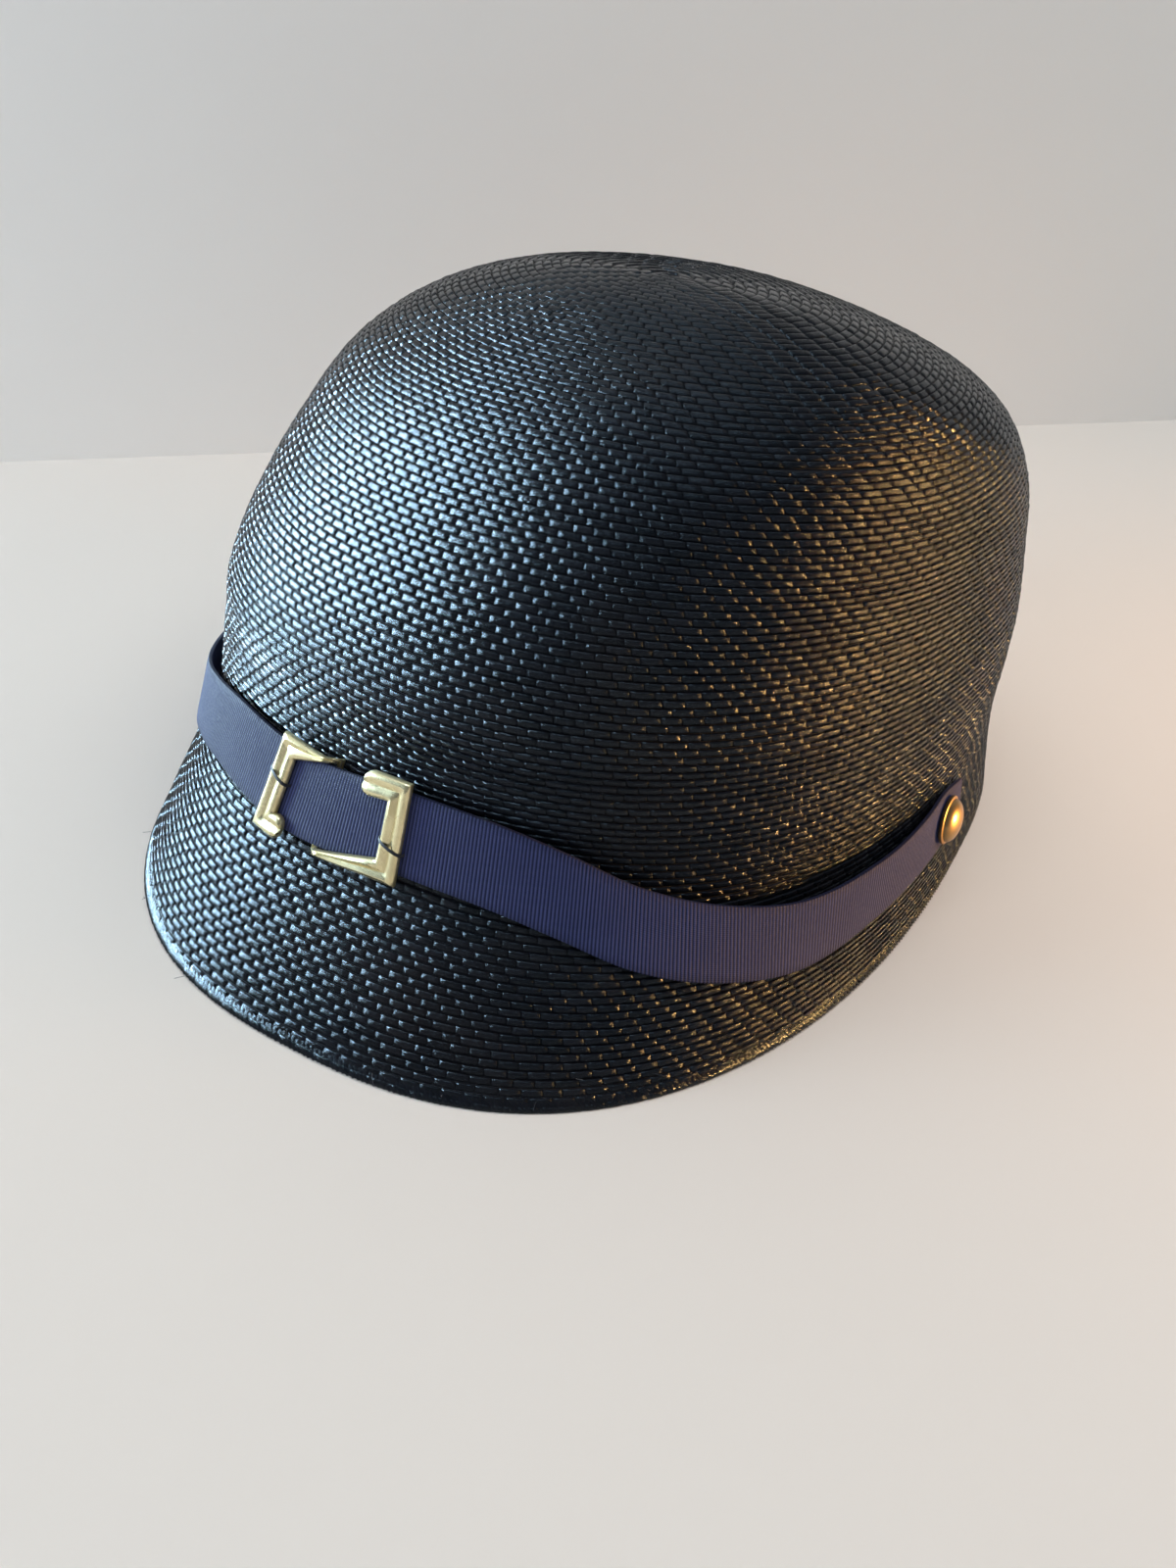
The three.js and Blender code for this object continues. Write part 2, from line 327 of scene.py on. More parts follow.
class StrapPath:
    """Where the ribbon strap runs round the straw."""

    def __init__(self, straw: StrawSurface) -> None:
        """Keeps the straw that the strap follows.

        Args:
            straw: the outer face of the straw.
        """
        self.straw = straw
        self.table = SmoothTable(STRAP_COLUMNS, STRAP_ROWS)
        self.start = STRAP_ROWS[0][0]
        self.end = STRAP_ROWS[-1][0]

    def edges(self, bearing: np.ndarray) -> tuple:
        """Gives the strap's low and high edge on its inner face.

        Args:
            bearing: degrees round the hat.

        Returns:
            Points of the low edge and of the high edge.
        """
        row = self.table.at(bearing)
        found = []
        for rise, off in ((0, row["low_off"]), (row["broad"] * STRAP.width, row["top_off"])):
            along = self.straw.climb(row["peak"] * STRAP.peak_depth + rise, bearing)
            outward = self.straw.axes(along, bearing)[1]
            found.append(self.straw.point(along, bearing) + outward * (off * STRAP.stand_off)[:, None])
        return found[0], found[1]

    def section(self, bearing: np.ndarray) -> tuple:
        """Gives the strap's place at some bearings.

        Args:
            bearing: degrees round the hat.

        Returns:
            Middle points, directions up, directions outward and half breadths.
        """
        low, high = self.edges(bearing)
        after = sum(self.edges(bearing + 1.5)) / 2
        before = sum(self.edges(bearing - 1.5)) / 2
        up = unit(high - low)
        outward = unit(np.cross(after - before, up))
        half = self.table.at(bearing)["broad"] * STRAP.width / 2
        return (low + high) / 2, up, outward, half

    def place(self, bearing: np.ndarray, y: np.ndarray, d: np.ndarray) -> np.ndarray:
        """Places points on the strap.

        Args:
            bearing: degrees round the hat.
            y: metres up from the middle line.
            d: metres outward from the inner face.

        Returns:
            Points, one for each bearing.
        """
        middle, up, outward, _ = self.section(np.asarray(bearing, float))
        return middle + up * np.asarray(y)[:, None] + outward * np.asarray(d)[:, None]


# Mesh helpers


def mesh_object(name: str, points: np.ndarray, faces: list, edges: tuple = ()) -> bpy.types.Object:
    """Makes an object from points and faces.

    Args:
        name: the piece's name.
        points: rows of x, y, z.
        faces: rows of point numbers, anticlockwise seen from outside.
        edges: pairs of point numbers, for a line that is still to be spun.

    Returns:
        The object, linked to the scene.
    """
    mesh = bpy.data.meshes.new(name)
    mesh.from_pydata(np.asarray(points, float).tolist(), edges, faces)
    mesh.validate()
    made = bpy.data.objects.new(name, mesh)
    bpy.context.scene.collection.objects.link(made)
    return made


def select_only(piece: bpy.types.Object) -> None:
    """Selects one object and makes it active.

    Args:
        piece: the object.
    """
    bpy.ops.object.select_all(action="DESELECT")
    piece.select_set(True)
    bpy.context.view_layer.objects.active = piece


def shade(piece: bpy.types.Object, how: Shading, angle: float = 40) -> None:
    """Sets how the faces are lit.

    Args:
        piece: the object.
        how: smooth all over or by angle.
        angle: the sharpest smooth edge in degrees.
    """
    select_only(piece)
    if how is Shading.SMOOTH:
        bpy.ops.object.shade_smooth()
    else:
        bpy.ops.object.shade_smooth_by_angle(angle=math.radians(angle))


def point_values(piece: bpy.types.Object, name: str, values: np.ndarray) -> None:
    """Writes one number for each point.

    Args:
        piece: the object.
        name: the attribute's name.
        values: a number for each point.
    """
    layer = piece.data.attributes.new(name, "FLOAT", "POINT")
    layer.data.foreach_set("value", np.asarray(values, np.float32))


def map_points(piece: bpy.types.Object, places: np.ndarray) -> None:
    """Writes a UV map from one place for each point.

    Args:
        piece: the object.
        places: u and v for each point.
    """
    layer = piece.data.uv_layers.new(name="own")
    corners = np.zeros(len(piece.data.loops), np.int32)
    piece.data.loops.foreach_get("vertex_index", corners)
    layer.data.foreach_set("uv", np.asarray(places, np.float32)[corners].ravel())


def tube_faces(rings: int, count: int) -> list:
    """Lists the faces of a tube made of rings of points.

    Args:
        rings: how many rings.
        count: points in each ring.

    Returns:
        Faces, the last two of them the caps.
    """
    faces = []
    for ring in range(rings - 1):
        here, there = ring * count, (ring + 1) * count
        for i in range(count):
            j = (i + 1) % count
            faces.append([here + i, here + j, there + j, there + i])
    faces.append(list(range(count))[::-1])
    faces.append([(rings - 1) * count + i for i in range(count)])
    return faces


def thread(name: str, path: np.ndarray, radius: float, sides: int = 6) -> bpy.types.Object:
    """Makes a thread along a path.

    Args:
        name: the piece's name.
        path: rows of x, y, z.
        radius: the thread's radius.
        sides: how many sides it has.

    Returns:
        The object.
    """
    path = np.asarray(path, float)
    ahead = unit(np.gradient(path, axis=0))
    side = unit(np.cross(ahead, np.array([0.31, 0.22, 0.92])))
    other = np.cross(side, ahead)
    turns = np.arange(sides) * math.tau / sides
    rings = path[:, None, :] + radius * (
        side[:, None, :] * np.cos(turns)[None, :, None] + other[:, None, :] * np.sin(turns)[None, :, None]
    )
    made = mesh_object(name, rings.reshape(-1, 3), tube_faces(len(path), sides))
    select_only(made)
    bpy.ops.object.mode_set(mode="EDIT")
    bpy.ops.mesh.select_all(action="SELECT")
    bpy.ops.mesh.normals_make_consistent(inside=False)
    bpy.ops.object.mode_set(mode="OBJECT")
    shade(made, Shading.BY_ANGLE, 60)
    return made


def join(strands: list, name: str) -> bpy.types.Object:
    """Joins strands to one piece.

    Args:
        strands: the objects.
        name: the piece's name.

    Returns:
        The piece.
    """
    select_only(strands[0])
    for strand in strands:
        strand.select_set(True)
    bpy.ops.object.join()
    strands[0].name = name
    return strands[0]


# Finishes


class NodeTools:
    """Short ways to add and join shader nodes in one tree."""

    def __init__(self, tree: bpy.types.NodeTree) -> None:
        """Keeps the tree.

        Args:
            tree: a material's or a group's node tree.
        """
        self.tree = tree

    def add(self, kind: str, **values: object) -> bpy.types.Node:
        """Adds a node.

        Args:
            kind: the node's type.
            values: its properties, or its inputs under in_0, in_1 and so on.

        Returns:
            The node.
        """
        node = self.tree.nodes.new(kind)
        for key, value in values.items():
            if key.startswith("in_"):
                socket = int(key[3:])
                if isinstance(value, bpy.types.NodeSocket):
                    self.tree.links.new(value, node.inputs[socket])
                else:
                    node.inputs[socket].default_value = value
            else:
                setattr(node, key, value)
        return node

    def math(self, operation: str, a: object, b: object = 0.5, c: object = 0.5) -> bpy.types.NodeSocket:
        """Adds a sum.

        Args:
            operation: the math node's operation.
            a: the first value or socket.
            b: the second value or socket.
            c: the third value or socket.

        Returns:
            The result's socket.
        """
        return self.add("ShaderNodeMath", operation=operation, in_0=a, in_1=b, in_2=c).outputs[0]

    def ramp(
        self, value: bpy.types.NodeSocket, low: float, high: float, out_low: float, out_high: float
    ) -> bpy.types.NodeSocket:
        """Maps one range to another.

        Args:
            value: the socket to map.
            low: where the range starts.
            high: where it ends.
            out_low: what its start becomes.
            out_high: what its end becomes.

        Returns:
            The result's socket.
        """
        node = self.add("ShaderNodeMapRange", in_0=value, in_1=low, in_2=high, in_3=out_low, in_4=out_high)
        return node.outputs[0]

    def mix(self, factor: object, first: object, second: object) -> bpy.types.NodeSocket:
        """Mixes two colours.

        Args:
            factor: the share of the second.
            first: a colour or socket.
            second: a colour or socket.

        Returns:
            The mixed colour's socket.
        """
        node = self.tree.nodes.new("ShaderNodeMix")
        node.data_type = "RGBA"
        for socket, value in ((node.inputs[0], factor), (node.inputs[6], first), (node.inputs[7], second)):
            if isinstance(value, bpy.types.NodeSocket):
                self.tree.links.new(value, socket)
            else:
                socket.default_value = value
        return node.outputs[2]

    def attribute(self, name: str) -> bpy.types.NodeSocket:
        """Reads a number from the piece's points.

        Args:
            name: the attribute's name.

        Returns:
            Its socket.
        """
        return self.add("ShaderNodeAttribute", attribute_name=name).outputs["Fac"]


def speckle_group() -> bpy.types.NodeTree:
    """Makes the shared group for fine wear: a blotch value and a grain value from a vector.

    Returns:
        The group.
    """
    group = bpy.data.node_groups.new("fine_wear", "ShaderNodeTree")
    inputs = (("Vector", "NodeSocketVector"), ("Blotch", "NodeSocketFloat"), ("Grain", "NodeSocketFloat"))
    for name, kind in inputs:
        group.interface.new_socket(name, in_out="INPUT", socket_type=kind)
    for name in ("Blotches", "Grains"):
        group.interface.new_socket(name, in_out="OUTPUT", socket_type="NodeSocketFloat")
    tools = NodeTools(group)
    inside = tools.add("NodeGroupInput")
    outside = tools.add("NodeGroupOutput")
    blotch = tools.add("ShaderNodeTexNoise", in_0=inside.outputs[0], in_2=inside.outputs[1], in_3=3.0)
    grain = tools.add("ShaderNodeTexNoise", in_0=inside.outputs[0], in_2=inside.outputs[2], in_3=2.0)
    group.links.new(blotch.outputs[0], outside.inputs[0])
    group.links.new(grain.outputs[0], outside.inputs[1])
    return group


@dataclass(frozen=True)
class Finish:
    """A finish's name and the shader's fixed values."""

    name: str
    roughness: float
    metallic: float = 0.0
    specular: float = 0.5
    sheen: float = 0.0

    def start(self) -> tuple:
        """Makes the material with its fixed values.

        Returns:
            The material, its node tools and its main shader.
        """
        material = bpy.data.materials.new(self.name)
        material.use_nodes = True
        shader = material.node_tree.nodes["Principled BSDF"]
        fixed = {
            "Roughness": self.roughness,
            "Metallic": self.metallic,
            "Specular IOR Level": self.specular,
            "Sheen Weight": self.sheen,
        }
        for name, value in fixed.items():
            shader.inputs[name].default_value = value
        return material, NodeTools(material.node_tree), shader


class Finishes:
    """Every material of the hat and its stand."""

    def __init__(self) -> None:
        """Makes the shared group and the materials."""
        self.wear = speckle_group()
        self.straw = self.straw_gloss()
        self.lining = self.straw_back()
        self.ribbon = self.ribbon_cloth()
        self.pale_brass = self.brass("pale_brass_aged", (0.8, 0.7, 0.42, 1), (0.52, 0.43, 0.22, 1), 0.3)
        self.dark_brass = self.brass("dark_brass_aged", (0.42, 0.27, 0.11, 1), (0.1, 0.065, 0.035, 1), 0.36)
        self.sewing = self.sewing_thread()
        self.table = self.pale_paint("pale_table", (0.8, 0.775, 0.74, 1), 0.4)
        self.wall = self.pale_paint("pale_wall", (0.9, 0.89, 0.87, 1), 0.75)

    def worn(
        self, tools: NodeTools, vector: bpy.types.NodeSocket, blotch: float, grain: float
    ) -> tuple:
        """Adds the shared wear group.

        Args:
            tools: the material's node tools.
            vector: where the noise is read.
            blotch: scale of the broad noise.
            grain: scale of the fine noise.

        Returns:
            The broad and the fine value's sockets.
        """
        node = tools.add("ShaderNodeGroup", node_tree=self.wear)
        tools.tree.links.new(vector, node.inputs[0])
        node.inputs[1].default_value = blotch
        node.inputs[2].default_value = grain
        return node.outputs[0], node.outputs[1]

    def straw_gloss(self) -> bpy.types.Material:
        """Dark glossy straw: lengthwise fibres, each straw a little other in tone, and a painted blue tint
        on all its reflections.

        Returns:
            The material.
        """
        finish = Finish("straw_gloss", 0.2, specular=0.26)
        material, tools, shader = finish.start()
        links = tools.tree.links
        tone = tools.attribute("tone")
        uv = tools.add("ShaderNodeUVMap", uv_map="own").outputs[0]
        fibre_place = tools.add("ShaderNodeMapping", in_0=uv, in_3=(0.9, 9.0, 1.0)).outputs[0]
        fibres = tools.add("ShaderNodeTexNoise", in_0=fibre_place, in_2=1.6, in_3=3.0).outputs[0]
        place = tools.add("ShaderNodeTexCoord").outputs["Object"]
        blotches, _ = self.worn(tools, place, 26.0, 240.0)
        dark = tools.mix(tone, (0.0022, 0.003, 0.0052, 1), (0.007, 0.0075, 0.0115, 1))
        faded = tools.mix(tools.ramp(blotches, 0.52, 0.72, 0, 0.6), dark, (0.011, 0.009, 0.0095, 1))
        links.new(faded, shader.inputs["Base Color"])
        rough = tools.math("MULTIPLY_ADD", tone, 0.1, 0.08)
        links.new(tools.math("MULTIPLY_ADD", fibres, 0.06, rough), shader.inputs["Roughness"])
        # Specular tint: a painted blue tint on every reflection of the straw, standing in for the window's
        # blue light.
        shader.inputs["Specular Tint"].default_value = (0.7, 0.88, 1.0, 1)
        bump = tools.add("ShaderNodeBump", in_0=0.5, in_1=0.00014)
        links.new(fibres, bump.inputs["Height"])
        links.new(bump.outputs[0], shader.inputs["Normal"])
        return material

    def straw_back(self) -> bpy.types.Material:
        """The straw behind and between the rows: darker, dull, with faint rows inside.

        Returns:
            The material.
        """
        finish = Finish("straw_back", 0.55, specular=0.3)
        material, tools, shader = finish.start()
        links = tools.tree.links
        uv = tools.add("ShaderNodeUVMap", uv_map="own").outputs[0]
        parts = tools.add("ShaderNodeSeparateXYZ", in_0=uv)
        rows = tools.math("SINE", tools.math("MULTIPLY", parts.outputs[1], math.tau))
        place = tools.add("ShaderNodeTexCoord").outputs["Object"]
        blotches, grains = self.worn(tools, place, 40.0, 900.0)
        tint = tools.mix(blotches, (0.003, 0.0036, 0.006, 1), (0.008, 0.0085, 0.012, 1))
        links.new(tint, shader.inputs["Base Color"])
        links.new(tools.ramp(grains, 0.3, 0.7, 0.5, 0.7), shader.inputs["Roughness"])
        bump = tools.add("ShaderNodeBump", in_0=0.6, in_1=0.0006)
        links.new(rows, bump.inputs["Height"])
        links.new(bump.outputs[0], shader.inputs["Normal"])
        return material

    def ribbon_cloth(self) -> bpy.types.Material:
        """Ribbed ribbon cloth: fine threads over the ribs, painted shade in the valleys between the ribs and
        along both edges, and a soft sheen.

        Returns:
            The material.
        """
        finish = Finish("ribbon_cloth", 0.78, specular=0.18, sheen=0.2)
        material, tools, shader = finish.start()
        shader.inputs["Sheen Roughness"].default_value = 0.4
        shader.inputs["Sheen Tint"].default_value = (0.42, 0.5, 1.0, 1)
        links = tools.tree.links
        uv = tools.add("ShaderNodeUVMap", uv_map="own").outputs[0]
        parts = tools.add("ShaderNodeSeparateXYZ", in_0=uv)
        threads = tools.math("SINE", tools.math("MULTIPLY", parts.outputs[1], math.tau / 0.42))
        crest = tools.attribute("crest")
        place = tools.add("ShaderNodeTexCoord").outputs["Object"]
        blotches, grains = self.worn(tools, place, 60.0, 1600.0)
        # Painted shade: the valleys between the ribs and the ribbon's edges, where crest is low, get a far
        # darker blue than the ribs.
        valley_painted_shade = (0.007, 0.009, 0.028, 1)
        ridge = tools.mix(blotches, (0.036, 0.046, 0.13, 1), (0.056, 0.068, 0.18, 1))
        links.new(tools.mix(tools.ramp(crest, 0.05, 0.8, 0, 1), valley_painted_shade, ridge), shader.inputs["Base Color"])
        links.new(tools.ramp(grains, 0.3, 0.7, 0.66, 0.88), shader.inputs["Roughness"])
        height = tools.math("MULTIPLY_ADD", threads, 0.5, grains)
        bump = tools.add("ShaderNodeBump", in_0=0.5, in_1=0.00008)
        links.new(height, bump.inputs["Height"])
        links.new(bump.outputs[0], shader.inputs["Normal"])
        return material

    def brass(self, name: str, bright: tuple, dull: tuple, roughness: float) -> bpy.types.Material:
        """Aged brass: bright on its ridges, dull and brown in its hollows.

        Args:
            name: the finish's name.
            bright: colour of the worn ridges.
            dull: colour of the hollows.
            roughness: how dull the metal is.

        Returns:
            The material.
        """
        finish = Finish(name, roughness, metallic=0.9)
        material, tools, shader = finish.start()
        links = tools.tree.links
        place = tools.add("ShaderNodeTexCoord").outputs["Object"]
        blotches, grains = self.worn(tools, place, 190.0, 1500.0)
        crest = tools.attribute("crest")
        patches = tools.ramp(blotches, 0.4, 0.7, 0, 1)
        age = tools.math("MULTIPLY_ADD", patches, 0.45, tools.ramp(crest, 0, 0.75, 0.62, 0))
        links.new(tools.mix(tools.math("MINIMUM", age, 1.0), bright, dull), shader.inputs["Base Color"])
        links.new(tools.math("MULTIPLY_ADD", age, 0.22, roughness - 0.06), shader.inputs["Roughness"])
        bump = tools.add("ShaderNodeBump", in_0=0.3, in_1=0.00005)
        links.new(grains, bump.inputs["Height"])
        links.new(bump.outputs[0], shader.inputs["Normal"])
        return material

    def sewing_thread(self) -> bpy.types.Material:
        """Dark sewing thread.

        Returns:
            The material.
        """
        finish = Finish("sewing_thread", 0.6, specular=0.3, sheen=0.2)
        material, tools, shader = finish.start()
        place = tools.add("ShaderNodeTexCoord").outputs["Object"]
        blotches, _ = self.worn(tools, place, 800.0, 2400.0)
        tint = tools.mix(blotches, (0.006, 0.007, 0.012, 1), (0.02, 0.021, 0.03, 1))
        tools.tree.links.new(tint, shader.inputs["Base Color"])
        return material

    def pale_paint(self, name: str, colour: tuple, roughness: float) -> bpy.types.Material:
        """Plain pale paint for the table and the wall.

        Args:
            name: the finish's name.
            colour: its colour.
            roughness: how dull it is.

        Returns:
            The material.
        """
        material, tools, shader = Finish(name, roughness, specular=0.0).start()
        place = tools.add("ShaderNodeTexCoord").outputs["Object"]
        blotches, _ = self.worn(tools, place, 3.0, 60.0)
        other = tuple(c * 0.965 for c in colour[:3]) + (1,)
        tools.tree.links.new(tools.mix(blotches, colour, other), shader.inputs["Base Color"])
        return material


# The straw


@dataclass(frozen=True)
class BraidLook:
    """Sizes of the braid's rows and single straws."""

    pitch: float = 1.6 * MM
    straw: float = 4.4 * MM
    relief: float = 0.66 * MM
    sunk: float = 0.5 * MM
    stagger: float = 0.42
    reference: float = 35
    slit_bearing: float = 64
    slit_spread: float = 8
    slit_along: float = 0.628
    slit_gap: float = 0.26
    slit_rows: float = 2.2
    seed: int = 7


class Braid:
    """The rows of straw braid, one spiral from the tip of the crown to the rim."""

    # A straw's length and breadth, how early it starts and how far it leans, as shares of its own
    STRETCH = 1.04
    BREADTH = 0.98
    EARLY = 0.02
    LEAN = 0.06

    def __init__(self, straw: StrawSurface, look: BraidLook) -> None:
        """Counts the rows and divides the spiral into single straws.

        Args:
            straw: the outer face of the straw.
            look: the braid's sizes.
        """
        self.straw = straw
        self.look = look
        self.random = np.random.default_rng(look.seed)
        self.grid = np.linspace(1, 0, 2401)
        line = straw.point(self.grid, np.full_like(self.grid, look.reference))
        strides = np.linalg.norm(np.diff(line, axis=0), axis=1)
        self.turns = np.concatenate(([0], np.cumsum(strides))) / look.pitch
        self.rows = self.turns[-1]
        slit = np.interp(look.slit_along, self.grid[::-1], self.turns[::-1])
        self.slit = math.floor(slit) + 0.5 + look.slit_bearing / 360

    def along(self, turn: np.ndarray) -> np.ndarray:
        """Turns a row number into a share of the way up.

        Args:
            turn: rows from the tip.

        Returns:
            The share along, from the rim.
        """
        return np.interp(turn, self.turns, self.grid)

    def uneven(self, turn: np.ndarray, bearing: np.ndarray) -> np.ndarray:
        """Shifts rows a little, and parts them at the slit.

        Args:
            turn: rows from the tip.
            bearing: degrees round the hat.

        Returns:
            The rows' real places.
        """
        look = self.look
        angle = np.radians(bearing)
        wave = 0.07 * np.sin(5 * angle + turn * 0.31) + 0.05 * np.sin(11 * angle - turn * 0.47)
        aside = (bearing + 180 - look.slit_bearing) % 360 - 180
        apart = turn - self.slit - aside / 360
        window = np.exp(-((aside / look.slit_spread) ** 2) - np.abs(apart) / look.slit_rows)
        return turn + wave * np.clip(turn / 8, 0, 1) + look.slit_gap * np.sign(apart) * window

    def spiral(self) -> tuple:
        """Divides the spiral into straws of nearly the same length.

        Returns:
            Where each straw starts and ends, in turns from the tip.
        """
        look = self.look
        turn = np.arange(0.55, self.rows - 0.45, 1 / 180)
        points = self.straw.point(self.along(turn), turn * 360)
        strides = np.concatenate(([0], np.linalg.norm(np.diff(points, axis=0), axis=1)))
        whole = np.floor(turn).astype(int)
        around = np.bincount(whole, strides)
        share = np.bincount(whole) / 180
        around = around / np.maximum(share, 0.05)
        counts = np.maximum(np.round(around / look.straw), 5) + look.stagger
        phase = np.cumsum(counts[whole] * strides / np.maximum(around[whole], 1e-9))
        count = math.floor(phase[-1])
        marks = np.arange(0, count) + self.random.uniform(-0.09, 0.09, count)
        cuts = np.interp(marks, phase, turn)
        return cuts[:-1], cuts[1:]

    def last_row(self) -> tuple:
        """Divides the row along the rim into straws.

        Returns:
            Where each straw starts and ends, in turns whose whole part is the last row.
        """
        bearings = np.arange(0, 360.01, 0.5)
        points = self.straw.point(np.zeros_like(bearings), bearings)
        climbed = np.concatenate(([0], np.cumsum(np.linalg.norm(np.diff(points, axis=0), axis=1))))
        count = round(climbed[-1] / self.look.straw)
        cuts = np.interp(np.linspace(0, climbed[-1], count + 1), climbed, bearings) / 360
        return cuts[:-1], cuts[1:]

    def template(self) -> tuple:
        """Models one straw: a low pillow, higher along its upper edge.

        Returns:
            Its points, as share along, share across and height, and its faces.
        """
        bpy.ops.mesh.primitive_grid_add(x_subdivisions=5, y_subdivisions=5, size=1)
        model = bpy.context.active_object
        points = np.array([v.co[:] for v in model.data.vertices])
        faces = np.array([p.vertices[:] for p in model.data.polygons])
        stations = np.linspace(-0.5, 0.5, 6)
        u = np.interp(points[:, 0], stations, (0.0, 0.1, 0.34, 0.7, 0.92, 1.0))
        v = np.interp(points[:, 1], stations, (-0.5, -0.42, -0.1, 0.2, 0.38, 0.5))
        rise = np.interp(u, (0.0, 0.1, 0.34, 0.7, 0.92, 1.0), (0.3, 0.92, 1.0, 1.0, 0.9, 0.25))
        slope = np.interp(v, (-0.5, -0.42, -0.1, 0.2, 0.38, 0.5), (0.0, 0.62, 0.86, 0.98, 1.0, 0.05))
        bpy.data.objects.remove(model)
        return np.stack((u, v, rise * slope), 1), faces

    def straws(
        self, name: str, middles: np.ndarray, starts: np.ndarray, ends: np.ndarray, row: float
    ) -> bpy.types.Object:
        """Lays copies of the straw along the rows as one piece.

        Args:
            name: the piece's name.
            middles: the row's middle at each straw's start, in rows from the tip.
            starts: where each straw starts, in turns.
            ends: where each straw ends, in turns.
            row: how much the row's middle moves with the turn: 1 in the spiral, 0 in a ring.

        Returns:
            The piece, with its UV map and tones.
        """
        points, faces = self.template()
        count, each = len(starts), len(points)
        u = points[None, :, 0] * self.STRETCH - self.EARLY - points[None, :, 1] * self.LEAN
        turn = starts[:, None] + (ends - starts)[:, None] * u
        place = middles[:, None] + (turn - starts[:, None]) * row - points[None, :, 1] * self.BREADTH
        bearing = turn * 360
        place = np.clip(self.uneven(place, bearing), 0.02, self.rows)
        along = self.along(place)
        look = self.look
        lift = self.random.uniform(0.9, 1.08, (count, 1))
        tilt = self.random.normal(0, 0.07, (count, 1)) * (points[None, :, 0] - 0.5)
        tilt = tilt + self.random.normal(0, 0.12, (count, 1)) * points[None, :, 1]
        height = points[None, :, 2] * (lift + tilt) * look.relief - look.sunk
        surface = self.straw.point(along, bearing)
        outward = self.straw.axes(along, bearing)[1]
        laid = surface + outward * height[..., None]
        laid[..., 2] = np.maximum(laid[..., 2], 0.15 * MM)
        numbers = faces[None, :, :] + (np.arange(count) * each)[:, None, None]
        piece = mesh_object(name, laid.reshape(-1, 3), numbers.reshape(-1, 4).tolist())
        tones = np.repeat(np.clip(self.random.normal(0.45, 0.22, count), 0, 1), each)
        point_values(piece, "tone", tones)
        offsets = self.random.uniform(0, 40, (count, 1))
        lengthwise = points[None, :, 0] * look.straw / MM + offsets
        crosswise = points[None, :, 1] * 2 + offsets * 0.7
        uv = np.stack((lengthwise, crosswise), -1)
        map_points(piece, uv.reshape(-1, 2))
        shade(piece, Shading.SMOOTH)
        return piece


